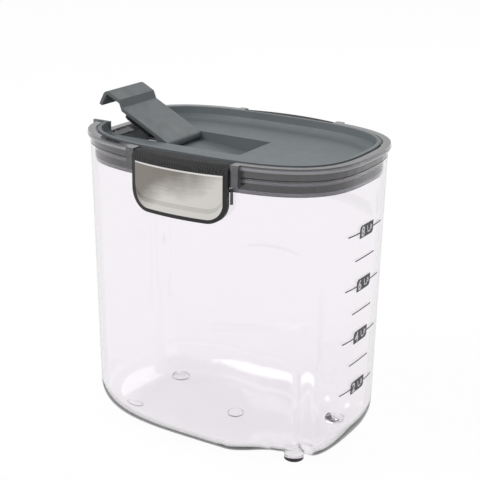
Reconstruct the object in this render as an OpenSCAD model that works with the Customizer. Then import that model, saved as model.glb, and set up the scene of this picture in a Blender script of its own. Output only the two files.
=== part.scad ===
// Cereal container with a clip-on lid and a flip spout.
// X runs along the long axis, with the spout at -X. The front latch is at -Y, and Z = 0 is the table.

/* [Vessel] */
// Length of the vessel at its rim
vessel_l = 169; // [150:1:210]
// Width of the vessel at its rim
vessel_w = 114.4; // [104:0.2:140]
// Height of the rim above the table
rim_z = 170.5; // [150:0.1:260]
// Fullness of the oval outline, where 2 is an ellipse
fullness = 3; // [2.4:0.1:3.6]
// Draft of the walls, in degrees
draft = 1; // [0.4:0.1:1.6]
// Thickness of the walls
wall = 2.2; // [1.6:0.1:3]
// Thickness of the floor
floor_t = 3; // [2.2:0.1:4]
// Radius between the walls and the base
base_fillet = 20; // [14:0.5:24]

/* [Feet: one at each corner and one in the middle] */
// Radius of each foot
foot_r = 5.7; // [4:0.1:7]
// How far the base stands above the table
foot_h = 1; // [0.5:0.1:2]
// Distance from the centre to a foot, along the length
foot_x = 56.6; // [45:0.2:62]
// Distance from the centre to a foot, across the width
foot_y = 25.8; // [18:0.2:30]

/* [Finger recesses] */
// Depth of each recess
grip_depth = 10; // [5:0.5:12]
// Where a recess begins, from the centre
grip_x0 = 22; // [16:1:26]
// Where it has its full depth
grip_x1 = 46; // [40:1:50]
// Where it begins to rise again
grip_x2 = 60; // [54:1:62]
// Where it ends
grip_x3 = 73; // [70:1:76]
// Height of the recess's arched top
grip_top = 139; // [110:1:142]
// How far the arched top bends down at its ends
grip_sag = 8; // [4:0.5:12]
// Height over which the top runs out
grip_run = 7; // [4:0.5:20]
// Depth just under the arched top
grip_lip = 3.5; // [2:0.5:8]
// Height over which the depth grows from there to the full depth
grip_grow = 100; // [60:5:115]
// Half-width of the base that a recess leaves alone
grip_in = 8; // [4:1:12]
// Width over which it gains its depth from there
grip_over = 26; // [20:1:30]

/* [Lid frame] */
// Overhang of the flange past the rim
flange_out = 1.4; // [1:0.1:2.5]
// Height of the flange's bead
bead_h = 3; // [2:0.1:4]
// Height of the band under the bead
band_h = 3.7; // [3:0.1:5]
// Thickness of the band's floor under the latches
sill_t = 1.3; // [1:0.1:2]
// Width of the bead, from its outer edge inwards
bead_w = 4.3; // [3.6:0.1:5]
// Depth of the plug skirt below the rim
skirt_h = 9; // [8:0.1:14]
// Thickness of the skirt
skirt_t = 2; // [1.8:0.1:2.6]
// Clearance between the vessel and the lid's underside
seat_gap = 0.3; // [0.2:0.05:0.4]
// Clearance between the vessel and the skirt
skirt_gap = 0.7; // [0.5:0.05:1]

/* [Gasket] */
// Height of the gasket's lower edge above the skirt's foot
gasket_up = 2.2; // [2:0.1:4]
// Height of the gasket
gasket_h = 3.6; // [3:0.1:5]
// Depth of its groove in the skirt
gasket_in = 1; // [0.6:0.05:1.2]
// How far it stands out of the groove
gasket_out = 0.25; // [0.1:0.05:0.3]

/* [Lid tray] */
// Depth of the tray floor below the tray's rim
tray_depth = 7.5; // [6:0.1:9]
// Height of the tray's rim above the bead
tray_up = 0.5; // [0.3:0.1:1.5]
// Thickness of the tray floor
tray_t = 2; // [1.6:0.1:2.6]
// Thickness of the tray's wall
tray_wall = 1.7; // [1.6:0.1:2.6]
// Radius between the tray's wall and its floor
tray_fillet = 5; // [3:0.5:6.5]
// Depth of the shelf that the tray's rim rests on, below the bead's top
shelf_down = 1.5; // [1:0.1:2]
// Width of the groove between the bead and the tray's rim
groove_w = 1.2; // [0.8:0.1:1.6]
// Clearance between the tray's wall and the frame
tray_gap = 0.1; // [0.05:0.05:0.3]

/* [Spout flap] */
// Angle at which the flap stands open at rest
flap_open = 27; // [0:1:60]
// Distance of the flap's hinge axis from the vessel's rim at the spout
flap_back = 46.2; // [43:0.1:48]
// Height of the hinge axis below the tray's rim
flap_down = 9.4; // [9:0.1:10]
// Width of the flap
flap_w = 34; // [28:0.5:38]
// Thickness of the flap
flap_t = 2; // [1.6:0.1:2.4]
// Radius of the hinge barrel
barrel_r = 2.6; // [2.4:0.1:3]
// Length of the flap's flat panel, from the axis
panel_l = 34.9; // [30:0.1:35.5]
// Rise of the step in front of the panel
step_up = 3.2; // [2.8:0.1:3.8]
// Run of that step
step_run = 3.6; // [2.5:0.1:4]
// Distance from the axis to the front of the nose
nose_l = 50; // [49.4:0.1:52]
// Drop of the nose below its top
nose_drop = 10.2; // [7:0.1:12]
// Outer radius of the bend into the nose
nose_r = 3.4; // [2.6:0.1:4]
// Radius of the hinge studs
flap_stud_r = 1.2; // [1:0.05:1.4]
// Length of each stud
flap_stud_l = 2.2; // [1.6:0.1:2.4]

/* [Spout seal] */
// Where the seal begins, from the axis
seal_x0 = 10; // [8:0.2:14]
// Where it ends, from the axis
seal_x1 = 33.7; // [28:0.1:34]
// Width of the seal
seal_w = 29; // [24:0.5:30]
// Depth of the seal under the flap
seal_h = 3.6; // [2.6:0.1:4.4]
// Corner radius of the seal
seal_r = 4; // [2:0.5:6]

/* [Spout and pocket] */
// Clearance at each side of the flap
flap_gap = 0.6; // [0.4:0.05:1]
// Thickness of the well's walls
well_wall = 2.2; // [1.8:0.1:3]
// Clearance round the seal
seal_gap = 0.7; // [0.5:0.05:1]
// Clearance under the flap, closed and folded back
rest_gap = 0.3; // [0.2:0.05:0.6]
// Height of the frame's lip at the spout, above the rim
lip_up = 0.8; // [0.5:0.1:1]
// How far the lip falls towards the flap
lip_fall = 1.9; // [1:0.1:2.4]
// Thickness of the lip
lip_t = 1.8; // [1.4:0.1:2.4]
// Length that the spout's cheeks reach past the flange
cheek_out = 1.9; // [0.5:0.1:3]
// Thickness of the cheeks
cheek_t = 1.8; // [1.4:0.1:2.4]

/* [Latches] */
// Middle of each latch, along the length
latch_x = 2; // [-4:0.5:4]
// Width of a latch
latch_w = 61.2; // [50:0.2:66]
// Height of a latch
latch_h = 32.4; // [31:0.1:38]
// How far a latch bows outwards over its width
latch_bow = 4; // [1:0.1:5]
// How far its ends stand out past the vessel's rim
latch_out = 4; // [3.8:0.1:6]
// Corner radius at the latch's foot
latch_corner = 12; // [6:0.5:16]
// Radius of the rounded top edge
latch_edge = 4.2; // [2:0.1:4.6]
// Height of the latch's top below the bead's top
latch_sunk = 0.4; // [0.2:0.1:1]
// Radius of the knuckle
knuckle_r = 2.1; // [1.9:0.05:2.3]
// Distance of the hinge axis inside the vessel's outer rim
knuckle_in = 1.6; // [1.4:0.05:1.8]
// Radius of the hinge studs
stud_r = 1.2; // [1:0.05:1.4]
// Length of each hinge stud
stud_l = 2.8; // [2:0.1:3.4]
// Radial clearance of the studs in their holes
stud_gap = 0.06; // [0.03:0.01:0.1]
// Clearance at each end of a latch
end_gap = 0.3; // [0.2:0.05:0.6]
// Width of a lug
lug_w = 4.8; // [4.2:0.1:6]
// Height of a lug
lug_h = 12; // [10:0.2:14]
// How far a lug stands out past the rim
lug_out = 2.4; // [2:0.1:3]

/* [Catches] */
// Height of the catch ledge's underside below the rim
catch_down = 15; // [13:0.1:17]
// Height of the catch ledge
catch_h = 9.2; // [6:0.1:10]
// How far it stands out past the rim
catch_out = 1.8; // [1.4:0.1:2]
// How far its ends run into the wall
catch_bite = 0.4; // [0.2:0.1:0.6]
// How much longer the ledge is than the latch
catch_more = 0.4; // [0:0.2:8]
// Height of the latch's hook
hook_h = 5; // [3:0.1:6]
// Clearance between the hook and the ledge
hook_gap = 0.35; // [0.2:0.05:0.6]
// Clearance between the hook and the vessel's wall
hook_air = 0.5; // [0.3:0.05:1]

/* [Latch trim] */
// Width of the side border round the plate
plate_side = 2.6; // [2:0.1:6]
// Height of the border above the plate
plate_top = 5.4; // [5:0.1:7]
// Height of the border below the plate
plate_foot = 2; // [1.5:0.1:5]
// Thickness of the plate
plate_t = 0.7; // [0.5:0.05:1]
// How far the plate lies below the latch's face
plate_sunk = 0.2; // [0:0.05:0.4]
// Thickness of the soft grip
pad_t = 0.8; // [0.6:0.05:1.2]
// Border at each end of the grip, and between it and the plate
pad_side = 0.8; // [0.6:0.1:2]

/* [Hidden] */

// Points round the oval, and segments on round details
STEPS = 96;
ROUND = 48;
// How much the points crowd towards the corners, in degrees
CROWD = 6;
// Rings in each base fillet and each fade of the finger recess
FILLET_RINGS = 5;
FADE_RINGS = 5;
// A length past any surface that is being cut through
FAR = 60;

// Heights in the lid, from the table up
lid_z = rim_z + seat_gap;
sill_z = lid_z + sill_t;
bead_z = lid_z + band_h;
bead_top = bead_z + bead_h;
shelf_z = bead_top - shelf_down;
skirt_z = rim_z - skirt_h;
gasket_z = skirt_z + gasket_up;
tray_top = bead_top + tray_up;
tray_z = tray_top - tray_depth;

// Offsets from the vessel's outer rim line, outwards
skirt_d = -wall - skirt_gap;
frame_in_d = skirt_d - skirt_t;
bead_in_d = flange_out - bead_w;
tray_rim_d = bead_in_d - groove_w;
tray_out_d = frame_in_d - tray_gap;
tray_in_d = tray_out_d - tray_wall;
groove_d = skirt_d - gasket_in;
gasket_d = skirt_d + gasket_out;

// Flap and spout
axis_x = flap_back - vessel_l / 2;
axis_z = tray_top - flap_down;
nose_top = barrel_r + step_up;
spout_hw = flap_w / 2 + flap_gap;
well_hw = spout_hw + well_wall;
pocket_end = axis_x + nose_l + flap_gap;
pocket_z = axis_z - barrel_r - rest_gap;
pocket_deep_z = axis_z - nose_top - rest_gap;
hinge_bay = barrel_r + flap_gap;
well_end = pocket_end + well_wall;
well_z = pocket_deep_z - tray_t;
seat_z = axis_z + barrel_r - flap_t - rest_gap;
pour_x0 = axis_x - seal_x1 - seal_gap;
pour_x1 = axis_x - seal_x0 + seal_gap;
pour_hw = seal_w / 2 + seal_gap;
lip_hw = spout_hw + cheek_t + tray_gap;
lip_x = axis_x - panel_l;
lip_z = rim_z + lip_up;
cheek_x = -vessel_l / 2 - flange_out - cheek_out;

// Latches, drawn at the front and mirrored to the back
latch_hw = latch_w / 2;
hinge_y = -vessel_w / 2 + knuckle_in;
latch_top = bead_top - latch_sunk;
hinge_z = latch_top - knuckle_r;
latch_foot = latch_top - latch_h;
latch_end_y = -vessel_w / 2 - latch_out;
bow_r = (latch_hw * latch_hw + latch_bow * latch_bow) / (2 * latch_bow);
bow_y = latch_end_y - latch_bow + bow_r;
leg_in_y = -vessel_w / 2 - catch_out - hook_gap;
bay_y = hinge_y + knuckle_r + end_gap;
lug_y = -vessel_w / 2 - lug_out;
lug_z = bead_top - lug_h;
catch_z = rim_z - catch_down;

function smooth(t) = let (u = min(1, max(0, t))) u * u * (3 - 2 * u);
function oval_point(t) =
    let (a = t + CROWD * sin(4 * t),
         r = pow(pow(abs(cos(a)) / (vessel_l / 2), fullness)
               + pow(abs(sin(a)) / (vessel_w / 2), fullness), -1 / fullness))
    [r * cos(a), r * sin(a)];
function oval_normal(p) =
    let (g = [sign(p[0]) * pow(abs(p[0]) / (vessel_l / 2), fullness - 1) / vessel_l,
              sign(p[1]) * pow(abs(p[1]) / (vessel_w / 2), fullness - 1) / vessel_w])
    g / norm(g);
// The rim line, moved outwards by d
function oval(d) = [for (i = [0 : STEPS - 1]) let (p = oval_point(i * 360 / STEPS)) p + d * oval_normal(p)];
// Half-width of the rim line at x
function oval_y(x) = vessel_w / 2 * pow(1 - pow(abs(x) / (vessel_l / 2), fullness), 1 / fullness);

// Depth of the finger recess at x and z
function grip_at(x, z) =
    let (mid = (grip_x0 + grip_x3) / 2,
         u = (x - mid) / (grip_x3 - grip_x0),
         top = grip_top - 4 * grip_sag * u * u,
         sink = grip_lip + (grip_depth - grip_lip) * smooth((top - z) / grip_grow))
    sink * smooth((x - grip_x0) / (grip_x1 - grip_x0))
               * smooth((grip_x3 - x) / (grip_x3 - grip_x2))
               * smooth((top - z) / grip_run);
function pressed(points, z) =
    [for (p = points) [p[0], p[1] - sign(p[1]) * grip_at(p[0], z) * smooth((abs(p[1]) - grip_in) / grip_over)]];
function at_height(points, z) = [for (p = points) [p[0], p[1], z]];
function drafted(z) = -tan(draft) * (rim_z - z);

// Heights of the rings between the base fillet and the rim
fade_z = grip_top - grip_sag - grip_run;
low_z = foot_h + base_fillet + 2;
wall_levels = concat([for (i = [0 : 3]) low_z + (fade_z - low_z) * i / 4],
                     [for (i = [0 : FADE_RINGS]) fade_z + (grip_top - fade_z) * i / FADE_RINGS],
                     [rim_z]);
outer_rings = concat(
    [for (i = [0 : FILLET_RINGS])
        let (a = 90 * i / FILLET_RINGS, z = foot_h + base_fillet * (1 - cos(a)))
        at_height(pressed(oval(drafted(z) - base_fillet * (1 - sin(a))), z), z)],
    [for (z = wall_levels) at_height(pressed(oval(drafted(z)), z), z)]);
inner_fillet = base_fillet - wall;
inner_rings = concat(
    [for (z = [for (i = [len(wall_levels) - 1 : -1 : 0]) wall_levels[i]])
        at_height(pressed(oval(drafted(z) - wall), z), z)],
    [for (i = [FILLET_RINGS : -1 : 0])
        let (a = 90 * i / FILLET_RINGS, z = foot_h + floor_t + inner_fillet * (1 - cos(a)))
        at_height(pressed(oval(drafted(z) - wall - inner_fillet * (1 - sin(a))), z), z)]);

// A closed solid through a stack of rings, each with the same number of points
module loft(rings) {
    n = len(rings[0]);
    last = (len(rings) - 1) * n;
    polyhedron(
        points = [for (r = rings) each r],
        faces = concat(
            [[for (i = [0 : n - 1]) i]],
            [for (k = [0 : len(rings) - 2]) for (i = [0 : n - 1])
                let (j = (i + 1) % n)
                each [[k * n + i, (k + 1) * n + i, (k + 1) * n + j], [k * n + i, (k + 1) * n + j, k * n + j]]],
            [[for (i = [n - 1 : -1 : 0]) last + i]]));
}

module oval_prism(d, z0, z1) {
    translate([0, 0, z0]) linear_extrude(z1 - z0) polygon(oval(d));
}

module oval_ring(d_in, d_out, z0, z1) {
    translate([0, 0, z0]) linear_extrude(z1 - z0) difference() {
        polygon(oval(d_out));
        polygon(oval(d_in));
    }
}

// A box from its low corner to its high corner
module block(low, high) {
    translate(low) cube(high - low);
}

// An outline in y and z, drawn along X between x0 and x1
module along_x(x0, x1, outline) {
    translate([x0, 0, 0]) rotate([90, 0, 90]) linear_extrude(x1 - x0) polygon(outline);
}

// An outline in x and z, drawn along Y over the width w, centred
module along_y(w, outline) {
    translate([0, w / 2, 0]) rotate([90, 0, 0]) linear_extrude(w) polygon(outline);
}

// Both long sides carry the same parts
module both_sides() {
    children();
    mirror([0, 1, 0]) children();
}

module catch_ledge() {
    ledge_hw = (latch_w + catch_more) / 2;
    ledge_y = -vessel_w / 2 - catch_out;
    root_y = -oval_y(abs(latch_x) + ledge_hw) - drafted(catch_z) + catch_bite;
    along_x(latch_x - ledge_hw, latch_x + ledge_hw, [
        [root_y, catch_z - hook_gap],
        [ledge_y, catch_z + hook_gap],
        [ledge_y, catch_z + catch_h - catch_out],
        [root_y, catch_z + catch_h]]);
}

module vessel() {
    color([0.9, 0.9, 0.92, 0.3]) {
        union() {
            loft(concat(outer_rings, inner_rings));
            both_sides() catch_ledge();
            for (sx = [-1, 1]) for (sy = [-1, 1])
                translate([sx * foot_x, sy * foot_y, 0]) cylinder(r = foot_r, h = foot_h + 0.85 * floor_t, $fn = ROUND);
            cylinder(r = foot_r, h = foot_h + floor_t / 2, $fn = ROUND);
        }
    }
}

// A lug at one end of a latch hangs down past the rim, clear of the vessel's wall
module lug(side) {
    x0 = latch_x + side * (latch_hw + end_gap);
    x1 = x0 + side * lug_w;
    inner_y = -oval_y(abs(latch_x) + latch_hw) - hook_gap;
    block([min(x0, x1), lug_y, lug_z], [max(x0, x1), inner_y, bead_top]);
    block([min(x0, x1), lug_y, lid_z], [max(x0, x1), bay_y, bead_top]);
}

module lid_frame() {
    color([0.36, 0.36, 0.38, 0.6]) {
        difference() {
            union() {
                oval_ring(bead_in_d, flange_out, bead_z, bead_top);
                oval_ring(frame_in_d, bead_in_d, bead_z, shelf_z);
                oval_ring(frame_in_d, 0, lid_z, bead_z);
                oval_ring(frame_in_d, skirt_d, gasket_z + gasket_h, lid_z);
                oval_ring(frame_in_d, groove_d, gasket_z, gasket_z + gasket_h);
                oval_ring(frame_in_d, skirt_d, skirt_z, gasket_z);
                both_sides() for (side = [-1, 1]) lug(side);
            }
            both_sides() {
                block([latch_x - latch_hw - end_gap, -vessel_w, sill_z],
                      [latch_x + latch_hw + end_gap, bay_y, bead_top + FAR]);
                translate([latch_x, hinge_y, hinge_z]) rotate([0, 90, 0])
                    cylinder(r = stud_r + stud_gap, h = latch_w + 2 * (stud_l + end_gap), center = true, $fn = ROUND);
            }
            block([-vessel_l, -lip_hw, lip_z], [lip_x, lip_hw, bead_top + FAR]);
        }
        intersection() {
            along_y(2 * lip_hw, [
                [lip_x, lip_z - lip_fall - lip_t], [lip_x, lip_z - lip_fall],
                [-vessel_l / 2, lip_z], [-vessel_l / 2, lip_z - lip_t]]);
            oval_prism(skirt_d, skirt_z, lip_z);
        }
    }
}

module skirt_gasket() {
    color([0.12, 0.12, 0.13]) oval_ring(groove_d, gasket_d, gasket_z, gasket_z + gasket_h);
}

// The flap's closed outline in side view, with the axis at [0, 0] and the spout towards -X
function bend(cx, cz, r, a0, a1) = [for (i = [0 : 6]) let (a = a0 + (a1 - a0) * i / 6) [cx + r * cos(a), cz + r * sin(a)]];
flap_outline = concat(
    [[0, barrel_r], [-panel_l, barrel_r], [-panel_l - step_run, nose_top]],
    bend(-nose_l + nose_r, nose_top - nose_r, nose_r, 90, 180),
    [[-nose_l, nose_top - nose_drop], [-nose_l + flap_t, nose_top - nose_drop]],
    bend(-nose_l + nose_r, nose_top - nose_r, nose_r - flap_t, 180, 90),
    [[-panel_l - step_run + 0.3 * flap_t, nose_top - flap_t],
     [-panel_l + 0.3 * flap_t, barrel_r - flap_t],
     [0, barrel_r - flap_t]]);

// Things on the flap stand open at rest
module at_flap() {
    translate([axis_x, 0, axis_z]) rotate([0, flap_open, 0]) children();
}

module spout_flap() {
    color([0.44, 0.47, 0.48]) at_flap() {
        along_y(flap_w, flap_outline);
        rotate([90, 0, 0]) cylinder(r = barrel_r, h = flap_w, center = true, $fn = ROUND);
        rotate([90, 0, 0]) cylinder(r = flap_stud_r, h = flap_w + 2 * flap_stud_l, center = true, $fn = ROUND);
    }
}

module rounded_plate(x0, x1, w, r) {
    for (x = [x0 + r, x1 - r]) for (y = [r - w / 2, w / 2 - r]) translate([x, y]) circle(r = r, $fn = ROUND);
    translate([x0 + r, -w / 2]) square([x1 - x0 - 2 * r, w]);
    translate([x0, r - w / 2]) square([x1 - x0, w - 2 * r]);
}

module spout_seal() {
    color([0.06, 0.06, 0.06]) at_flap()
        translate([0, 0, barrel_r - flap_t - seal_h]) linear_extrude(seal_h)
            rounded_plate(-seal_x1, -seal_x0, seal_w, seal_r);
}

// The well that the flap lies in, closed and folded back
module flap_space() {
    along_y(2 * spout_hw, [
        [axis_x + hinge_bay, tray_top + FAR], [axis_x + hinge_bay, pocket_z],
        [axis_x + panel_l, pocket_deep_z], [pocket_end, pocket_deep_z], [pocket_end, tray_top + FAR]]);
    block([axis_x - hinge_bay, -spout_hw, axis_z - hinge_bay], [axis_x + hinge_bay + 1, spout_hw, tray_top + FAR]);
    along_y(2 * spout_hw, [
        [axis_x, tray_top + FAR], [axis_x, seat_z], [-vessel_l, seat_z], [-vessel_l, tray_top + FAR]]);
}

// The hollow of the tray, with round corners at its floor
module tray_hollow() {
    loft(concat(
        [for (i = [FILLET_RINGS : -1 : 0])
            let (a = 90 * i / FILLET_RINGS)
            at_height(oval(tray_in_d - tray_fillet * (1 - cos(a))), tray_z + tray_fillet * (1 - sin(a)))],
        [at_height(oval(tray_in_d + tray_up), tray_top + 1)]));
}

module lid_tray() {
    color([0.44, 0.47, 0.48]) {
        difference() {
            union() {
                difference() {
                    union() {
                        oval_prism(tray_rim_d, shelf_z, tray_top);
                        oval_prism(tray_out_d, tray_z - tray_t, shelf_z);
                    }
                    tray_hollow();
                }
                intersection() {
                    block([-vessel_l, -well_hw, well_z], [well_end, well_hw, tray_z]);
                    oval_prism(tray_out_d, well_z, tray_z);
                }
            }
            flap_space();
            block([-vessel_l, -lip_hw, well_z - FAR], [lip_x + tray_gap, lip_hw, lip_z + tray_gap]);
            block([pour_x0, -pour_hw, well_z - FAR], [pour_x1, pour_hw, tray_top + FAR]);
            translate([axis_x, 0, axis_z]) rotate([90, 0, 0])
                cylinder(r = flap_stud_r + stud_gap, h = flap_w + 2 * flap_stud_l + flap_gap, center = true, $fn = ROUND);
        }
        for (s = [-1, 1])
            block([cheek_x, min(s * spout_hw, s * (spout_hw + cheek_t)), lip_z + tray_gap],
                  [-vessel_l / 2 - tray_in_d + cheek_t, max(s * spout_hw, s * (spout_hw + cheek_t)), tray_top]);
    }
}

// The latch's rounded front, as a disc whose rim is the bowed face
module bow_disc(inset, top) {
    r = bow_r - inset;
    edge = max(latch_edge - max(inset, 0), 0.5);
    translate([latch_x, bow_y, 0]) rotate_extrude(start = 240, angle = 60, $fn = 360) polygon(concat(
        [[r - FAR / 2, latch_foot - 1], [r, latch_foot - 1]],
        [for (i = [0 : 6]) let (a = 15 * i) [r - edge + edge * cos(a), top - edge + edge * sin(a)]],
        [[r - FAR / 2, top]]));
}

// An upright shape with round corners at its foot, drawn through the latch's front
module front_shape(hw, z0, z1, corner, head) {
    translate([latch_x, -vessel_w / 4, 0]) rotate([90, 0, 0]) linear_extrude(vessel_w) {
        for (s = [-1, 1]) {
            translate([s * (hw - corner), z0 + corner]) circle(r = corner, $fn = 2 * ROUND);
            translate([s * (hw - head), z1 - head]) circle(r = head, $fn = ROUND);
        }
        translate([-hw + corner, z0]) square([2 * (hw - corner), z1 - z0]);
        translate([-hw, z0 + corner]) square([2 * hw, z1 - z0 - corner - head]);
    }
}

// The plate's outline
module plate_shape() {
    front_shape(latch_hw - plate_side, latch_foot + plate_foot, latch_top - plate_top,
                latch_corner - plate_side, plate_t);
}

// The room for the grip, which wraps over the latch's rounded top, down to the plate
module grip_space() {
    difference() {
        block([latch_x - latch_hw + pad_side, -vessel_w, latch_top - plate_top + pad_side],
              [latch_x + latch_hw - pad_side, hinge_y - pad_side, latch_top + pad_t]);
        bow_disc(pad_t, latch_top - pad_t);
    }
}

module latch_grip() {
    intersection() {
        grip_space();
        bow_disc(0, latch_top);
    }
}

module latch_body() {
    hook_y = -vessel_w / 2 - drafted(catch_z) - hook_air;
    hook_z = catch_z - 2 * hook_gap;
    leg_z = sill_z + end_gap;
    difference() {
        intersection() {
            union() {
                along_x(latch_x - latch_hw, latch_x + latch_hw, [
                    [hinge_y, latch_top], [hinge_y, leg_z], [leg_in_y, leg_z], [leg_in_y, latch_foot],
                    [-vessel_w, latch_foot], [-vessel_w, latch_top]]);
                along_x(latch_x - latch_hw + plate_side, latch_x + latch_hw - plate_side, [
                    [leg_in_y, hook_z + hook_gap], [hook_y, hook_z],
                    [hook_y, hook_z - hook_h / 2], [leg_in_y, hook_z - hook_h], [leg_in_y - 1, hook_z - hook_h],
                    [leg_in_y - 1, hook_z + hook_gap]]);
                translate([latch_x - latch_hw, hinge_y, hinge_z]) rotate([0, 90, 0])
                    cylinder(r = knuckle_r, h = latch_w, $fn = ROUND);
            }
            union() {
                bow_disc(0, latch_top);
                block([latch_x - latch_w, hinge_y - 1, latch_foot], [latch_x + latch_w, 0, latch_top]);
            }
            front_shape(latch_hw, latch_foot, latch_top, latch_corner, stud_gap);
        }
        grip_space();
        intersection() {
            plate_shape();
            difference() {
                bow_disc(-1, latch_top + FAR);
                bow_disc(plate_t + plate_sunk, latch_top + FAR);
            }
        }
    }
    translate([latch_x, hinge_y, hinge_z]) rotate([0, 90, 0])
        cylinder(r = stud_r, h = latch_w + 2 * stud_l, center = true, $fn = ROUND);
}

module latch_plate() {
    intersection() {
        plate_shape();
        difference() {
            bow_disc(plate_sunk, latch_top + FAR);
            bow_disc(plate_t + plate_sunk, latch_top + FAR);
        }
    }
}

module latch_front_body() {
    color([0.2, 0.2, 0.21]) latch_body();
}

module latch_front_grip() {
    color([0.26, 0.27, 0.28]) latch_grip();
}

module latch_front_plate() {
    color([0.72, 0.71, 0.69]) latch_plate();
}

module latch_back_body() {
    color([0.2, 0.2, 0.21]) mirror([0, 1, 0]) latch_body();
}

module latch_back_grip() {
    color([0.26, 0.27, 0.28]) mirror([0, 1, 0]) latch_grip();
}

module latch_back_plate() {
    color([0.72, 0.71, 0.69]) mirror([0, 1, 0]) latch_plate();
}

vessel();
lid_frame();
lid_tray();
skirt_gasket();
spout_flap();
spout_seal();
latch_front_body();
latch_front_grip();
latch_front_plate();
latch_back_body();
latch_back_grip();
latch_back_plate();
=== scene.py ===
"""The dressed cereal container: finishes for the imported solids, the printed scale and the studio.

Sizes are in millimetres, and MM turns them into Blender's metres.
"""
import math

import bmesh
import bpy
from mathutils import Matrix, Vector


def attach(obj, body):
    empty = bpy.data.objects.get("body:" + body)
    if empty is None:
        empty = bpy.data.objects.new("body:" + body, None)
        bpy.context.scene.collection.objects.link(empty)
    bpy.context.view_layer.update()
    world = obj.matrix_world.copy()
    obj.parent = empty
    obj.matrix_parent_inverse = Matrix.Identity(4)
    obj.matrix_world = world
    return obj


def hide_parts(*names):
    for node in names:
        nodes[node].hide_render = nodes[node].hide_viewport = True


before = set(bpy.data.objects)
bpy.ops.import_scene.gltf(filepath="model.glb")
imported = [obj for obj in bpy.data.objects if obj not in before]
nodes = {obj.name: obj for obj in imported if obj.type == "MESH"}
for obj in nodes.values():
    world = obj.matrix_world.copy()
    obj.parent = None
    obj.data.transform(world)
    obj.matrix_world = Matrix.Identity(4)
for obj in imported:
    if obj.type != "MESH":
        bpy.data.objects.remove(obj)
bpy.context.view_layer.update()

MM = 0.001
UP = Vector((0, 0, 1))

# The camera, as fitted to the photograph's frame of 480 by 480 pixels
CAMERA_AT = Vector((355.49, -571.59, 342.57)) * MM
CAMERA_RIGHT = Vector((0.84906, 0.52819, 0.01066))
CAMERA_UP = Vector((-0.17853, 0.26787, 0.94677))
CAMERA_CLIP = (0.05, 20.0)
SENSOR_MM = 36.0
FOCAL_PX = 1218.3
FRAME_PX = 480.0

# The vessel, as in the part file: an oval of power FULLNESS, with drafted walls
RIM_L, RIM_W, RIM_Z = 169.0, 114.4, 170.5
FULLNESS = 3.0
DRAFT = math.tan(math.radians(1.0))
WALL, FLOOR_T, BASE_FILLET = 2.2, 3.0, 20.0

# Its feet, with the gate mark last: x, y, and the share of the floor's thickness that each reaches into
FOOT_H, FOOT_R, FOOT_SOFT = 1.0, 5.7, 0.3
FEET = [(56.6, 25.8, 0.85), (56.6, -25.8, 0.85), (-56.6, 25.8, 0.85), (-56.6, -25.8, 0.85),
        (0.0, 0.0, 0.5)]

# The finger recess in each long side. It starts, reaches its depth, leaves it and ends at the four
# GRIP_X. Under its arched top edge it is GRIP_LIP deep, and it deepens over GRIP_GROW
GRIP_X = (22.0, 46.0, 60.0, 73.0)
GRIP_DEPTH, GRIP_LIP, GRIP_GROW = 10.0, 3.5, 100.0
GRIP_IN, GRIP_OVER = 8.0, 26.0
GRIP_TOP, GRIP_SAG, GRIP_RUN = 139.0, 8.0, 7.0

# The catch ledge under each latch
LEDGE_MID, LEDGE_HALF, LEDGE_OUT = 2.0, 30.8, 1.8
LEDGE_Z, LEDGE_H, LEDGE_BITE, LEDGE_SLOPE = 155.5, 9.2, 0.4, 0.35

# How finely the vessel is drawn. CROWD_DEG draws a ring's points together at the oval's corners, and
# the rings stand close over the recess's arch, up to ARCH_PAST above it
AROUND, CROWD_DEG = 288, 6.0
CORNER_RINGS, WALL_RINGS, ARCH_RINGS = 12, 12, 24
ARCH_PAST, PLAIN_PAST = 2, 12
FOOT_ROUND = 48

# The lid frame's thick band and lugs get a paler, partly dull copy of the smoky plastic of its thin
# skirt, as painted light for their highlights
BAND_FOOT, LUG_IN = 170.9, 54.5

# The rounded bead round the band, outside the latches and the spout, in a paler smoky plastic as a
# painted highlight. Its arcs are in degrees
BEAD_OUT, BEAD_R, BEAD_Z = 0.55, 1.15, 175.6
BEAD_ARCS = {"right": (-62.0, 62.0), "left_front": (200.0, 240.0), "left_back": (120.0, 160.0)}
BEAD_STEPS, BEAD_ROUND, BEAD_TAPER, BEAD_END = 96, 16, 5, 0.3

# The steel plates, as pressed sheet: bowed with the latch, domed, and creased above the lower edge
PLATE_MID, PLATE_HALF, PLATE_LOW, PLATE_TOP, PLATE_CORNER = 2.0, 28.0, 146.7, 171.7, 9.4
PLATE_PROUD, PLATE_DOME, PLATE_T, PLATE_ARRIS = 0.35, 0.25, 0.8, 0.18
CREASE_UP, CREASE_DEPTH = 3.6, 0.25
# The rows at the crease take a darker steel as painted shade, and the top row a paler steel as a
# painted highlight
PLATE_COLUMNS, PLATE_ROWS, PAINTED_SHADE_ROWS = 72, 28, range(4, 7)
LATCH_HALF, LATCH_BOW, LATCH_END_Y = 30.6, 4.0, 61.2
LATCH_R = (LATCH_HALF ** 2 + LATCH_BOW ** 2) / (2 * LATCH_BOW)
LATCH_CENTRE_Y = LATCH_END_Y + LATCH_BOW - LATCH_R

# The printed scale on the vessel's end wall: a line with a badge for every second unit, a tick between.
# Rays from WALL_RAY_M along X find the wall
SCALE_LINES, SCALE_TICKS = (8, 6, 4, 2), (7, 5, 3)
SCALE_STEP, SCALE_TOP, SCALE_MID = 31.07, 136.0, -0.7
LONG_HALF, TICK_HALF, LINE_T, LINE_STEPS = 19.4, 11.1, 0.75, 12
BADGE_Y, BADGE_H, BADGE_CORNER, BADGE_STEPS = (-8.5, 7.5), 7.2, 2.2, 6
DIGIT_Y, DIGIT_H, CUP_Y = -4.9, 5.6, 2.2
INK_T, INK_LIFT, INK_GRID = 0.05, 0.01, 1.2
WALL_RAY_M = 0.2

# Blender's font: its size for a digit of height 1, and how much its strokes are thickened
FONT_SIZE, FONT_BOLD = 1.4, 0.035

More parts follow.
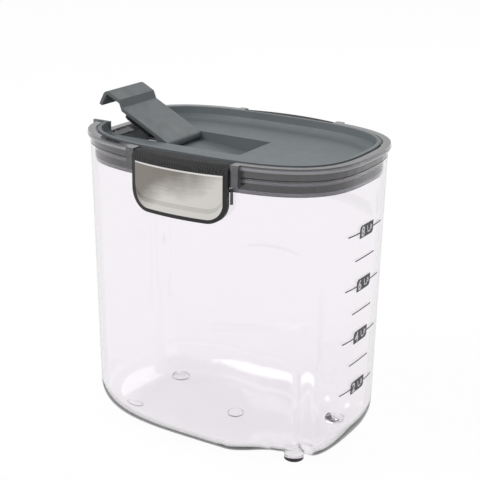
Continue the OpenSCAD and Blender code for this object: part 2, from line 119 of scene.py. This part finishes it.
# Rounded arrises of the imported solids, and the angles from which an edge is sharp, and rounded
ARRIS = {"lid_frame": 0.35, "lid_tray": 0.35, "spout_flap": 0.3, "latch_front_body": 0.3,
         "latch_back_body": 0.3, "latch_front_plate": 0.12, "latch_back_plate": 0.12}
SHARP_DEG, ARRIS_DEG = 30, 40

# Between what values a noise texture mostly runs, and about how many bands a wave texture of scale 1
# has in a metre
NOISE_LOW, NOISE_HIGH = 0.3, 0.7
WAVE_BANDS = 3.1416

# Clear plastic darkens to EDGE_SHADE where it turns away from the eye, more sharply for a high power
EDGE_POWER, EDGE_SHADE = 7.0, 0.6

# The steel's painted reflection, dark at NOISE_LOW and bright at NOISE_HIGH: what it is at the plate's
# upper middle, how it rises along X and downwards, per metre, and how much clouds and brushed streaks
# vary it
PAINTED_REFLECTION_START, PAINTED_REFLECTION_ALONG, PAINTED_REFLECTION_DOWN = 0.22, 11.0, 26.0
SWEEP_CLOUD, SWEEP_STREAK = 0.9, 0.25

# The floor, and the light of floor and sky as dull surfaces, glass and gloss, and the camera see it
FLOOR_HALF_M, FLOOR_DROP, FLOOR_GREY, FLOOR_ROUGH = 6.0, 0.2, 0.9, 0.9
FLOOR_GLOW, GLOW_TO_GLOSS, GLOW_TO_CAMERA = 1.04, 0.7, 0.9
SKY_TO_DULL, SKY_TO_GLOSS, SKY_TO_CAMERA = 0.45, 0.65, 1.0

# Each lamp's place in metres, its power in watts and its size. All of them point at LAMPS_AIM
LAMPS = {
    "key": ((-0.9, -0.9, 1.3), 9.0, (0.9, 0.9)),
    "fill": ((1.3, -0.6, 0.7), 1.5, (0.8, 1.2)),
    "back": ((0.2, 1.3, 1.1), 4.0, (1.4, 0.6)),
}
LAMPS_AIM = Vector((0, 0, 0.12))


def new_object(name, data):
    obj = bpy.data.objects.new(name, data)
    bpy.context.scene.collection.objects.link(obj)
    return obj


def evaluated(obj):
    """A new mesh of the object as its modifiers leave it."""
    bpy.context.view_layer.update()
    return bpy.data.meshes.new_from_object(obj.evaluated_get(bpy.context.evaluated_depsgraph_get()))


def smooth(t):
    t = min(1.0, max(0.0, t))
    return t * t * (3 - 2 * t)


def steps(start, end, count):
    """Even steps from start to end, without the start itself."""
    return [start + (end - start) * i / count for i in range(1, count + 1)]


def circle(count):
    """The angles of that many points round a circle."""
    return [2 * math.pi * i / count for i in range(count)]


def shade(colour, factor):
    return tuple(c * factor for c in colour)


class Nodes:
    """The node tree of a material or a world, with short names for what is built in it."""

    def __init__(self, owner):
        owner.use_nodes = True
        self.tree = owner.node_tree

    def add(self, kind, **values):
        node = self.tree.nodes.new("ShaderNode" + kind)
        for key, value in values.items():
            setattr(node, key, value)
        return node

    def link(self, source, target):
        self.tree.links.new(source, target)

    def feed(self, socket, value):
        """Puts a number, or another node's output, into a socket."""
        if isinstance(value, (int, float)):
            socket.default_value = value
        else:
            self.link(value, socket)

    def math(self, operation, a, b):
        node = self.add("Math", operation=operation)
        self.feed(node.inputs[0], a)
        self.feed(node.inputs[1], b)
        return node.outputs["Value"]

    def total(self, start, *terms):
        """start, with each term's weight times its value added."""
        for weight, value in terms:
            start = self.math("ADD", start, self.math("MULTIPLY", value, weight))
        return start

    def between(self, value, low, high, value_low=0.0, value_high=1.0):
        """A number from low to high, as value runs from value_low to value_high."""
        node = self.add("MapRange")
        self.feed(node.inputs["Value"], value)
        self.feed(node.inputs["From Min"], value_low)
        self.feed(node.inputs["From Max"], value_high)
        self.feed(node.inputs["To Min"], low)
        self.feed(node.inputs["To Max"], high)
        return node.outputs["Result"]

    def surface(self, share, first, second):
        """Makes the material's surface of two shaders, with that share of the second."""
        mix = self.add("MixShader")
        self.feed(mix.inputs["Fac"], share)
        self.link(first, mix.inputs[1])
        self.link(second, mix.inputs[2])
        self.link(mix.outputs["Shader"], self.tree.nodes["Material Output"].inputs["Surface"])

    def in_glass_or_gloss(self, path):
        """1 for a ray straight through glass or off gloss, and 0 once it has left a dull surface."""
        straight = self.math("LESS_THAN", path.outputs["Diffuse Depth"], 0.5)
        glass, gloss = path.outputs["Is Transmission Ray"], path.outputs["Is Glossy Ray"]
        return self.math("MULTIPLY", straight, self.math("MAXIMUM", glass, gloss))


class Finish(Nodes):
    """A material of one Principled shader, with textures laid in the object's own space."""

    def __init__(self, name):
        self.material = bpy.data.materials.new(name)
        super().__init__(self.material)
        self.shader = self.tree.nodes["Principled BSDF"]
        self.coords = self.add("TexCoord").outputs["Object"]

    def put(self, **values):
        """Sets the shader's own sockets, named with _ for a space."""
        for key, value in values.items():
            self.shader.inputs[key.replace("_", " ")].default_value = value

    def mapped(self, scale=(1, 1, 1), turn=(0, 0, 0)):
        mapping = self.add("Mapping")
        mapping.inputs["Scale"].default_value = scale
        mapping.inputs["Rotation"].default_value = turn
        self.link(self.coords, mapping.inputs["Vector"])
        return mapping.outputs["Vector"]

    def noise(self, scale, detail=3.0, roughness=0.5, vector=None):
        texture = self.add("TexNoise")
        texture.inputs["Scale"].default_value = scale
        texture.inputs["Detail"].default_value = detail
        texture.inputs["Roughness"].default_value = roughness
        self.link(vector or self.coords, texture.inputs["Vector"])
        return texture.outputs["Fac"]

    def spread(self, noise, low, high):
        """A noise spread from low to high."""
        return self.between(noise, low, high, NOISE_LOW, NOISE_HIGH)

    def tint(self, value, dark, light):
        """A colour between dark and light, to the shader's base colour."""
        mix = self.add("Mix", data_type="RGBA")
        mix.inputs["A"].default_value = (*dark, 1)
        mix.inputs["B"].default_value = (*light, 1)
        self.link(value, mix.inputs["Factor"])
        self.link(mix.outputs["Result"], self.shader.inputs["Base Color"])

    def roughen(self, noise, low, high):
        """A roughness from low to high, to the shader."""
        self.link(self.spread(noise, low, high), self.shader.inputs["Roughness"])

    def bump(self, height, strength, distance):
        node = self.add("Bump")
        node.inputs["Strength"].default_value = strength
        node.inputs["Distance"].default_value = distance
        self.link(height, node.inputs["Height"])
        self.link(node.outputs["Normal"], self.shader.inputs["Normal"])


def clear_plastic(name, colour, ior, rough, wave, lamp_share=1.0, coat=0.0, clear=1.0):
    """Polished clear moulding, darker where it turns away from the eye, its surface uneven by wave.

    Lamps shine through it at lamp_share. coat is the gloss over it, and clear is the share of it that
    lets light through, the rest being dull plastic.
    """
    m = Finish(name)
    m.put(Transmission_Weight=clear, IOR=ior, Specular_IOR_Level=0.5)
    m.put(Coat_Weight=coat, Coat_Roughness=0.04)
    edge = m.math("POWER", m.add("LayerWeight").outputs["Facing"], EDGE_POWER)
    m.tint(edge, colour, shade(colour, EDGE_SHADE))
    m.roughen(m.noise(60.0), rough * 0.6, rough * 1.4)
    m.bump(m.noise(22.0, detail=1.0), strength=wave, distance=0.4 * MM)
    lamplit = m.add("BsdfTransparent")
    lamplit.inputs["Color"].default_value = (*shade(colour, lamp_share), 1)
    to_lamp = m.add("LightPath").outputs["Is Shadow Ray"]
    m.surface(to_lamp, m.shader.outputs["BSDF"], lamplit.outputs["BSDF"])
    return m.material


def moulded(name, colour, rough, grain=2600.0, depth=0.03 * MM):
    """Opaque plastic with the fine spark-eroded grain of its mould."""
    m = Finish(name)
    m.put(IOR=1.5, Specular_IOR_Level=0.45)
    tone = m.spread(m.noise(35.0, detail=5.0), 0.0, 1.0)
    m.tint(tone, shade(colour, 0.93), shade(colour, 1.05))
    m.roughen(m.noise(180.0, detail=4.0), rough - 0.05, rough + 0.07)
    m.bump(m.noise(grain, detail=2.0), strength=0.35, distance=depth)
    return m.material


def silicone(name, colour):
    """Soft dull rubber with a fine grain."""
    m = Finish(name)
    m.put(IOR=1.42, Specular_IOR_Level=0.4)
    tone = m.spread(m.noise(90.0), 0.0, 1.0)
    m.tint(tone, shade(colour, 0.85), shade(colour, 1.15))
    m.roughen(m.noise(240.0), 0.38, 0.52)
    m.bump(m.noise(900.0), strength=0.2, distance=0.03 * MM)
    return m.material


def knurled(name, colour, pitch):
    """Soft grip with crossed diagonal ribs of the given pitch, painted darker in their grooves and
    paler on their crests.
    """
    m = Finish(name)
    m.put(IOR=1.45, Specular_IOR_Level=0.4)
    ribs = []
    for turn in (1, -1):
        wave = m.add("TexWave", wave_type="BANDS", bands_direction="X", wave_profile="SIN")
        wave.inputs["Scale"].default_value = 1.0 / (pitch * WAVE_BANDS)
        m.link(m.mapped(turn=(0, 0, turn * math.radians(45))), wave.inputs["Vector"])
        ribs.append(wave.outputs["Fac"])
    height = m.math("MULTIPLY", ribs[0], ribs[1])
    # Painted shade in the grooves and a painted highlight on the crests, following the ribs' height
    m.tint(height, shade(colour, 0.45), shade(colour, 1.5))
    m.roughen(m.noise(300.0), 0.5, 0.62)
    m.bump(height, strength=0.9, distance=0.2 * MM)
    return m.material


def satin_steel(name, colour, dark):
    """Stainless sheet, brushed along its length, softened, and painted with a reflection darker towards
    one upper corner.
    """
    m = Finish(name)
    m.put(Metallic=1.0)
    streak = m.noise(1.0, detail=6.0, roughness=0.6, vector=m.mapped(scale=(60, 900, 1500)))
    cloud = m.noise(30.0)
    place = m.add("SeparateXYZ")
    m.link(m.coords, place.inputs[0])
    # A painted reflection: darker towards the plate's upper corner at low X, lighter along X and
    # downwards
    painted_reflection = m.total(
        PAINTED_REFLECTION_START,
        (PAINTED_REFLECTION_ALONG, place.outputs["X"]),
        (PAINTED_REFLECTION_DOWN, m.math("SUBTRACT", PLATE_TOP * MM, place.outputs["Z"])),
        (SWEEP_CLOUD, m.math("SUBTRACT", cloud, 0.5)),
        (SWEEP_STREAK, m.math("SUBTRACT", streak, 0.5)))
    m.tint(m.spread(painted_reflection, 0.0, 1.0), dark, colour)
    m.roughen(m.total(0.0, (0.6, streak), (0.4, cloud)), 0.24, 0.4)
    m.bump(streak, strength=0.12, distance=0.03 * MM)
    return m.material


SLATE = (0.2, 0.226, 0.237)
CHARCOAL = (0.018, 0.018, 0.019)
CLEAR = clear_plastic("clear_plastic", (0.99, 0.97, 0.994), 1.54, 0.02, wave=0.01, lamp_share=0.8)
SMOKY = clear_plastic("smoky_plastic", (0.1, 0.094, 0.11), 1.42, 0.05, wave=0.015, coat=0.3)
# The band's paler, partly dull smoky plastic is painted light for the band's highlights
SMOKY_BAND_PAINTED_LIGHT = clear_plastic(
    "smoky_band_painted_light", (0.2, 0.193, 0.21), 1.5, 0.08, wave=0.015, coat=1.0, clear=0.65)
# The bead's pale smoky plastic is a painted highlight
SMOKY_BEAD_PAINTED_HIGHLIGHT = clear_plastic(
    "smoky_bead_painted_highlight", (0.5, 0.5, 0.545), 1.5, 0.05, wave=0.015, coat=1.0, clear=0.4)
# Each steel carries a painted reflection
STEEL = satin_steel("satin_steel", (0.72, 0.7, 0.665), (0.27, 0.25, 0.225))
# A darker steel for painted shade along the plate's crease
STEEL_PAINTED_SHADE = satin_steel("steel_crease_painted_shade", (0.6, 0.58, 0.55), (0.19, 0.176, 0.158))
# A paler steel for a painted highlight along the plate's upper edge
STEEL_PAINTED_HIGHLIGHT = satin_steel("steel_edge_painted_highlight", (0.93, 0.92, 0.9), (0.8, 0.78, 0.76))
FINISHES = {
    "vessel": CLEAR,
    "lid_frame": SMOKY,
    "lid_tray": moulded("slate_plastic", SLATE, 0.42),
    "spout_flap": moulded("slate_flap", shade(SLATE, 0.68), 0.4),
    "skirt_gasket": silicone("gasket_silicone", (0.02, 0.019, 0.02)),
    "spout_seal": silicone("black_silicone", (0.018, 0.018, 0.019)),
    "latch_front_body": moulded("charcoal_plastic", CHARCOAL, 0.45),
    "latch_front_grip": knurled("grip_rubber", (0.045, 0.045, 0.047), 1.1 * MM),
    "latch_front_plate": STEEL,
}
for part in ("body", "grip", "plate"):
    FINISHES["latch_back_" + part] = FINISHES["latch_front_" + part]

INK_FINISH = moulded("scale_ink", (0.075, 0.07, 0.08), 0.5, grain=4000.0, depth=0.01 * MM)
PALE_INK_FINISH = moulded("scale_pale_ink", (0.9, 0.89, 0.91), 0.5, grain=4000.0, depth=0.01 * MM)

# Each ink, with how far above the wall its film starts. The pale ink lies on the dark
INK = (INK_FINISH, INK_LIFT)
PALE_INK = (PALE_INK_FINISH, INK_LIFT + INK_T)


def dress(obj, material, arris=0.0):
    """Gives a solid its finish, smooth shading between its sharp edges, and rounded arrises."""
    obj.data.materials.clear()
    obj.data.materials.append(material)
    for face in obj.data.polygons:
        face.use_smooth = True
    obj.data.set_sharp_from_angle(angle=math.radians(SHARP_DEG))
    if arris:
        bevel = obj.modifiers.new("arris", "BEVEL")
        bevel.width = arris * MM
        bevel.segments = 2
        bevel.limit_method = "ANGLE"
        bevel.angle_limit = math.radians(ARRIS_DEG)
        bevel.harden_normals = True


def dress_nodes():
    for name, obj in nodes.items():
        dress(obj, FINISHES[name], ARRIS.get(name, 0.0))
    lid_frame = nodes["lid_frame"].data
    # The band and lugs take the paler smoky plastic, painted light for their highlights
    lid_frame.materials.append(SMOKY_BAND_PAINTED_LIGHT)
    for face in lid_frame.polygons:
        face.material_index = int(face.center.z > BAND_FOOT * MM or abs(face.center.y) > LUG_IN * MM)


def oval(turn):
    """A point of the rim's outline, and the unit vector out of it there, as x, y, out_x, out_y."""
    c, s = math.cos(turn), math.sin(turn)
    half_l, half_w = RIM_L / 2, RIM_W / 2
    reach = ((abs(c) / half_l) ** FULLNESS + (abs(s) / half_w) ** FULLNESS) ** (-1 / FULLNESS)
    x, y = reach * c, reach * s
    out_x = math.copysign(abs(x / half_l) ** (FULLNESS - 1) / RIM_L, x)
    out_y = math.copysign(abs(y / half_w) ** (FULLNESS - 1) / RIM_W, y)
    size = math.hypot(out_x, out_y)
    return x, y, out_x / size, out_y / size


def oval_half_width(x):
    return RIM_W / 2 * (1 - abs(x / (RIM_L / 2)) ** FULLNESS) ** (1 / FULLNESS)


def grip_depth(x, z):
    """Depth of the finger recess at x and z."""
    begins, full, wanes, ends = GRIP_X
    across = (x - (begins + ends) / 2) / (ends - begins)
    top = GRIP_TOP - 4 * GRIP_SAG * across * across
    sink = GRIP_LIP + (GRIP_DEPTH - GRIP_LIP) * smooth((top - z) / GRIP_GROW)
    sides = smooth((x - begins) / (full - begins)) * smooth((ends - x) / (ends - wanes))
    return sink * sides * smooth((top - z) / GRIP_RUN)


def ring(inset, z):
    """One ring of the vessel's skin at height z, that far inside the rim's outline."""
    points = []
    for turn in circle(AROUND):
        x, y, out_x, out_y = oval(turn + math.radians(CROWD_DEG) * math.sin(4 * turn))
        x, y = x - inset * out_x, y - inset * out_y
        y -= math.copysign(grip_depth(x, z) * smooth((abs(y) - GRIP_IN) / GRIP_OVER), y)
        points.append(Vector((x, y, z)) * MM)
    return points


def skin(inset, floor_z, fillet):
    """Rings from the floor's edge up to the rim: a round base corner, then the drafted wall."""
    rings = []
    for i in range(CORNER_RINGS + 1):
        turn = math.radians(90 * i / CORNER_RINGS)
        z = floor_z + fillet * (1 - math.cos(turn))
        rings.append(ring(inset + fillet * (1 - math.sin(turn)) + DRAFT * (RIM_Z - z), z))
    arch_foot = GRIP_TOP - GRIP_SAG - GRIP_RUN
    levels = steps(floor_z + fillet, arch_foot, WALL_RINGS)
    levels += steps(arch_foot, GRIP_TOP + ARCH_PAST, ARCH_RINGS)
    levels += [GRIP_TOP + PLAIN_PAST, RIM_Z]
    return rings + [ring(inset + DRAFT * (RIM_Z - z), z) for z in levels]


def lofted(name, rings):
    """A closed skin through the rings, in order, capped at both ends."""
    mesh = bpy.data.meshes.new(name)
    count = len(rings[0])
    faces = []
    for k in range(len(rings) - 1):
        for i in range(count):
            j = (i + 1) % count
            faces.append((k * count + i, k * count + j, (k + 1) * count + j, (k + 1) * count + i))
    faces.append(tuple(reversed(range(count))))
    last = (len(rings) - 1) * count
    faces.append(tuple(range(last, last + count)))
    mesh.from_pydata([tuple(p) for r in rings for p in r], [], faces)
    return new_object(name, mesh)


def foot(x, y, top):
    """A round foot from the ground up to top, its lower edge softened."""
    rings = []
    for r, z in ((FOOT_R - FOOT_SOFT, 0.0), (FOOT_R, FOOT_SOFT), (FOOT_R, top)):
        rings.append([Vector((x + r * math.cos(t), y + r * math.sin(t), z)) * MM
                      for t in circle(FOOT_ROUND)])
    return lofted("foot", rings)


def ledge(side):
    """The catch ledge under a latch, as a prism along X."""
    root = oval_half_width(LEDGE_MID + LEDGE_HALF) - DRAFT * (RIM_Z - LEDGE_Z) - LEDGE_BITE
    out = RIM_W / 2 + LEDGE_OUT
    outline = [(root, LEDGE_Z - LEDGE_SLOPE), (out, LEDGE_Z + LEDGE_SLOPE),
               (out, LEDGE_Z + LEDGE_H - LEDGE_OUT), (root, LEDGE_Z + LEDGE_H)]
    rings = [[Vector((x, side * y, z)) * MM for y, z in outline]
             for x in (LEDGE_MID - LEDGE_HALF, LEDGE_MID + LEDGE_HALF)]
    return lofted("ledge", rings)


def outward(obj):
    """Turns a closed mesh's faces outwards."""
    bm = bmesh.new()
    bm.from_mesh(obj.data)
    bmesh.ops.recalc_face_normals(bm, faces=bm.faces)
    bm.to_mesh(obj.data)
    bm.free()


def unite(base, others):
    """Unites base with the others, which go away."""
    for other in others:
        outward(other)
        union = base.modifiers.new("union", "BOOLEAN")
        union.operation, union.solver, union.object = "UNION", "EXACT", other
    united = evaluated(base)
    base.modifiers.clear()
    base.data = united
    for other in others:
        bpy.data.objects.remove(other)


def make_vessel():
    """The vessel again, with the fine smooth walls that clear plastic shows."""
    outer = skin(0.0, FOOT_H, BASE_FILLET)
    inner = skin(WALL, FOOT_H + FLOOR_T, BASE_FILLET - WALL)
    vessel = lofted("vessel_clear", outer + inner[::-1])
    outward(vessel)
    feet = [foot(x, y, FOOT_H + share * FLOOR_T) for x, y, share in FEET]
    unite(vessel, feet + [ledge(1), ledge(-1)])
    dress(vessel, CLEAR)
    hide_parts("vessel")
    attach(vessel, "container")
    bpy.context.view_layer.update()
    return vessel


def make_bead(name, start, end):
    """A half-sunk round bead along the band, from start to end in degrees, its ends tapered into it."""
    rings = []
    for i in range(BEAD_STEPS + 1):
        x, y, out_x, out_y = oval(math.radians(start + (end - start) * i / BEAD_STEPS))
        out = Vector((out_x, out_y, 0))
        centre = Vector((x, y, BEAD_Z)) + BEAD_OUT * out
        fade = smooth(min(i, BEAD_STEPS - i) / BEAD_TAPER)
        radius = BEAD_R * (BEAD_END + (1 - BEAD_END) * fade)
        rings.append([(centre + radius * (math.cos(t) * out + math.sin(t) * UP)) * MM
                      for t in circle(BEAD_ROUND)])
    bead = lofted("frame_bead_" + name, rings)
    outward(bead)
    dress(bead, SMOKY_BEAD_PAINTED_HIGHLIGHT)
    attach(bead, "lid")


def plate_point(x, z, low):
    """A point of the plate's face, for the front latch. low is the lower edge's height at x."""
    out = LATCH_CENTRE_Y + math.sqrt((LATCH_R + PLATE_PROUD) ** 2 - (x - PLATE_MID) ** 2)
    across = (x - PLATE_MID) / PLATE_HALF
    along = 2 * (z - PLATE_LOW) / (PLATE_TOP - PLATE_LOW) - 1
    dome = (1 - across ** 4) * (1 - along ** 2) - 1
    crease = smooth((z - low) / CREASE_UP) - 1
    return Vector((x, -(out + PLATE_DOME * dome + CREASE_DEPTH * crease), z)) * MM


def make_plate(latch, side):
    """A latch's steel plate, with painted shade along the crease and a painted highlight along the
    upper edge.
    """
    verts, faces = [], []
    for i in range(PLATE_COLUMNS + 1):
        x = PLATE_HALF * math.sin(math.pi * (i / PLATE_COLUMNS - 0.5))
        into_corner = max(0.0, abs(x) - (PLATE_HALF - PLATE_CORNER))
        low = PLATE_LOW + PLATE_CORNER - math.sqrt(PLATE_CORNER ** 2 - into_corner ** 2)
        for k in range(PLATE_ROWS + 1):
            point = plate_point(PLATE_MID + x, low + (PLATE_TOP - low) * k / PLATE_ROWS, low)
            verts.append((point.x, -side * point.y, point.z))
    for i in range(PLATE_COLUMNS):
        for k in range(PLATE_ROWS):
            a = i * (PLATE_ROWS + 1) + k
            faces.append((a, a + PLATE_ROWS + 1, a + PLATE_ROWS + 2, a + 1))
    mesh = bpy.data.meshes.new(latch)
    mesh.from_pydata(verts, [], faces if side < 0 else [f[::-1] for f in faces])
    plate = new_object(latch, mesh)
    sheet = plate.modifiers.new("sheet", "SOLIDIFY")
    sheet.thickness = PLATE_T * MM
    sheet.offset = -1
    dress(plate, STEEL, PLATE_ARRIS)
    mesh.materials.append(STEEL_PAINTED_SHADE)
    mesh.materials.append(STEEL_PAINTED_HIGHLIGHT)
    # Painted shade on the rows at the crease, and a painted highlight on the top row
    for number, face in enumerate(mesh.polygons):
        row = number % PLATE_ROWS
        face.material_index = 1 if row in PAINTED_SHADE_ROWS else 2 if row == PLATE_ROWS - 1 else 0
    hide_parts(latch + "_plate")
    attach(plate, latch)


def wall_point(vessel, y, z):
    """The outside of the end wall at y and z, and its normal, found by casting a ray on the vessel."""
    hit, place, normal, _ = vessel.ray_cast(Vector((WALL_RAY_M, y, z)), Vector((-1, 0, 0)))
    if not hit:
        raise ValueError("the printed scale misses the vessel")
    return place, normal


def printed(vessel, name, points, faces, ink):
    """A thin film of ink through points given as (y, z), laid on the wall."""
    material, lift = ink
    under, over = [], []
    for y, z in points:
        place, normal = wall_point(vessel, y * MM, z * MM)
        under.append(place + normal * lift * MM)
        over.append(place + normal * (lift + INK_T) * MM)
    count = len(points)
    edges = {(a, b) for face in faces for a, b in zip(face, face[1:] + face[:1])}
    rim = [(a, b) for a, b in edges if (b, a) not in edges]
    mesh = bpy.data.meshes.new(name)
    mesh.from_pydata(
        [tuple(p) for p in under + over], [],
        [tuple(i + count for i in face) for face in faces]
        + [tuple(reversed(face)) for face in faces]
        + [(a, b, b + count, a + count) for a, b in rim])
    mesh.materials.append(material)
    film = new_object(name, mesh)
    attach(film, "container")


def strip(vessel, name, y0, y1, z):
    """A printed line from y0 to y1 at height z, with enough points to follow the wall."""
    points, faces = [], []
    for i in range(LINE_STEPS + 1):
        y = y0 + (y1 - y0) * i / LINE_STEPS
        points += [(y, z - LINE_T / 2), (y, z + LINE_T / 2)]
    for i in range(LINE_STEPS):
        faces.append((2 * i, 2 * i + 2, 2 * i + 3, 2 * i + 1))
    printed(vessel, name, points, faces, INK)


def quarter(y, z, start):
    """A quarter circle of the badge's corner, round y and z, from start in degrees."""
    turns = [math.radians(start + 90 * i / BADGE_STEPS) for i in range(BADGE_STEPS + 1)]
    return [(y + BADGE_CORNER * math.cos(t), z + BADGE_CORNER * math.sin(t)) for t in turns]


def badge_outline(z):
    """A block round at its upper left and lower right, as seen, with square other corners."""
    y0, y1 = BADGE_Y
    z0, z1 = z - BADGE_H / 2, z + BADGE_H / 2
    lower_right = quarter(y1 - BADGE_CORNER, z0 + BADGE_CORNER, -90)
    upper_left = quarter(y0 + BADGE_CORNER, z1 - BADGE_CORNER, 90)
    return [(y0, z0)] + lower_right + [(y1, z1)] + upper_left


def cup_outline(y, z):
    """A small plain cup with an open middle and a handle, as a sign for the unit."""
    foot_and_handle = [(-1.5, -2.0), (1.5, -2.0), (1.8, -0.9), (3.4, -0.9), (3.6, 1.2), (2.3, 1.2)]
    handle_inside = [(2.2, 0.6), (2.9, 0.6), (2.8, -0.3), (2.0, -0.3)]
    rim_and_inside = [(2.5, 2.0), (1.7, 2.0), (1.1, -1.3), (-1.1, -1.3), (-1.7, 2.0), (-2.5, 2.0)]
    return [(y + a, z + b) for a, b in foot_and_handle + handle_inside + rim_and_inside]


def filled(vessel, name, outline, ink):
    """An outline in (y, z), cut into narrow bands so that it follows the wall."""
    bm = bmesh.new()
    bm.faces.new([bm.verts.new((0, y, z)) for y, z in outline])
    y0, y1 = min(y for y, _ in outline), max(y for y, _ in outline)
    cuts = max(2, int((y1 - y0) / INK_GRID))
    for i in range(1, cuts):
        everything = bm.verts[:] + bm.edges[:] + bm.faces[:]
        place = (0, y0 + (y1 - y0) * i / cuts, 0)
        bmesh.ops.bisect_plane(bm, geom=everything, plane_co=place, plane_no=(0, 1, 0))
    bm.verts.index_update()
    points = [(v.co.y, v.co.z) for v in bm.verts]
    faces = [tuple(v.index for v in f.verts) for f in bm.faces]
    bm.free()
    printed(vessel, name, points, faces, ink)


def digit_faces(number, y, z):
    """The number's outline from Blender's own plain font, as points and faces in (y, z)."""
    curve = bpy.data.curves.new("digit", "FONT")
    curve.body = str(number)
    curve.size = DIGIT_H * FONT_SIZE
    curve.offset = DIGIT_H * FONT_BOLD
    curve.align_x = "CENTER"
    digit = new_object("digit", curve)
    mesh = evaluated(digit)
    points = [(y + v.co.x, z - DIGIT_H / 2 + v.co.y) for v in mesh.vertices]
    faces = [tuple(f.vertices) for f in mesh.polygons]
    bpy.data.objects.remove(digit)
    bpy.data.meshes.remove(mesh)
    return points, faces


def scale_z(number):
    """The height of a number's line."""
    return SCALE_TOP - (SCALE_LINES[0] - number) / 2 * SCALE_STEP


def print_scale(vessel):
    for number in SCALE_LINES:
        z = scale_z(number)
        strip(vessel, f"scale_line_left_{number}", SCALE_MID - LONG_HALF, BADGE_Y[0], z)
        strip(vessel, f"scale_line_right_{number}", BADGE_Y[1], SCALE_MID + LONG_HALF, z)
        filled(vessel, f"scale_badge_{number}", badge_outline(z), INK)
        printed(vessel, f"scale_number_{number}", *digit_faces(number, DIGIT_Y, z), PALE_INK)
        filled(vessel, f"scale_cup_{number}", cup_outline(CUP_Y, z), PALE_INK)
    for number in SCALE_TICKS:
        z = scale_z(number)
        strip(vessel, f"scale_tick_{number}", SCALE_MID - TICK_HALF, SCALE_MID + TICK_HALF, z)


def make_camera():
    data = bpy.data.cameras.new("camera")
    data.sensor_width = SENSOR_MM
    data.lens = FOCAL_PX / FRAME_PX * SENSOR_MM
    data.clip_start, data.clip_end = CAMERA_CLIP
    camera = new_object("camera", data)
    right = CAMERA_RIGHT.normalized()
    back = right.cross(CAMERA_UP).normalized()
    up = back.cross(right)
    turn = Matrix((right, up, back)).transposed().to_4x4()
    camera.matrix_world = Matrix.Translation(CAMERA_AT) @ turn
    bpy.context.scene.camera = camera


def make_floor():
    """A plain pale floor that keeps the shadow and shows white to the camera and in gloss."""
    mesh = bpy.data.meshes.new("floor")
    corners = [(-1, -1), (1, -1), (1, 1), (-1, 1)]
    mesh.from_pydata([(FLOOR_HALF_M * x, FLOOR_HALF_M * y, 0) for x, y in corners], [], [(0, 1, 2, 3)])
    floor = new_object("floor", mesh)
    floor.location.z = -FLOOR_DROP * MM
    m = Finish("floor")
    m.put(Base_Color=(FLOOR_GREY, FLOOR_GREY, FLOOR_GREY, 1), Roughness=FLOOR_ROUGH)
    glow = m.add("Emission")
    glow.inputs["Strength"].default_value = FLOOR_GLOW
    path = m.add("LightPath")
    to_gloss = m.math("MULTIPLY", m.in_glass_or_gloss(path), GLOW_TO_GLOSS)
    share = m.between(path.outputs["Is Camera Ray"], to_gloss, GLOW_TO_CAMERA)
    m.surface(share, m.shader.outputs["BSDF"], glow.outputs["Emission"])
    mesh.materials.append(m.material)


def make_sky():
    """A plain white surround, dimmer to all but the camera, so that the clear plastic has contrast."""
    world = bpy.data.worlds.new("studio")
    bpy.context.scene.world = world
    w = Nodes(world)
    path = w.add("LightPath")
    indirect = w.between(w.in_glass_or_gloss(path), SKY_TO_DULL, SKY_TO_GLOSS)
    background = w.tree.nodes["Background"]
    background.inputs["Color"].default_value = (1, 1, 1, 1)
    strength = w.between(path.outputs["Is Camera Ray"], indirect, SKY_TO_CAMERA)
    w.link(strength, background.inputs["Strength"])


def make_lamp(name, at, power, size):
    data = bpy.data.lights.new(name, "AREA")
    data.energy = power
    data.shape = "RECTANGLE"
    data.size, data.size_y = size
    obj = new_object(name, data)
    obj.location = at
    obj.rotation_euler = (LAMPS_AIM - Vector(at)).to_track_quat("-Z", "Y").to_euler()


dress_nodes()
vessel_clear = make_vessel()
for name, (start, end) in BEAD_ARCS.items():
    make_bead(name, start, end)
make_plate("latch_front", -1)
make_plate("latch_back", 1)
print_scale(vessel_clear)

make_camera()
make_floor()
make_sky()
for name, (at, power, size) in LAMPS.items():
    make_lamp(name, at, power, size)
bpy.context.scene.view_settings.view_transform = "Standard"
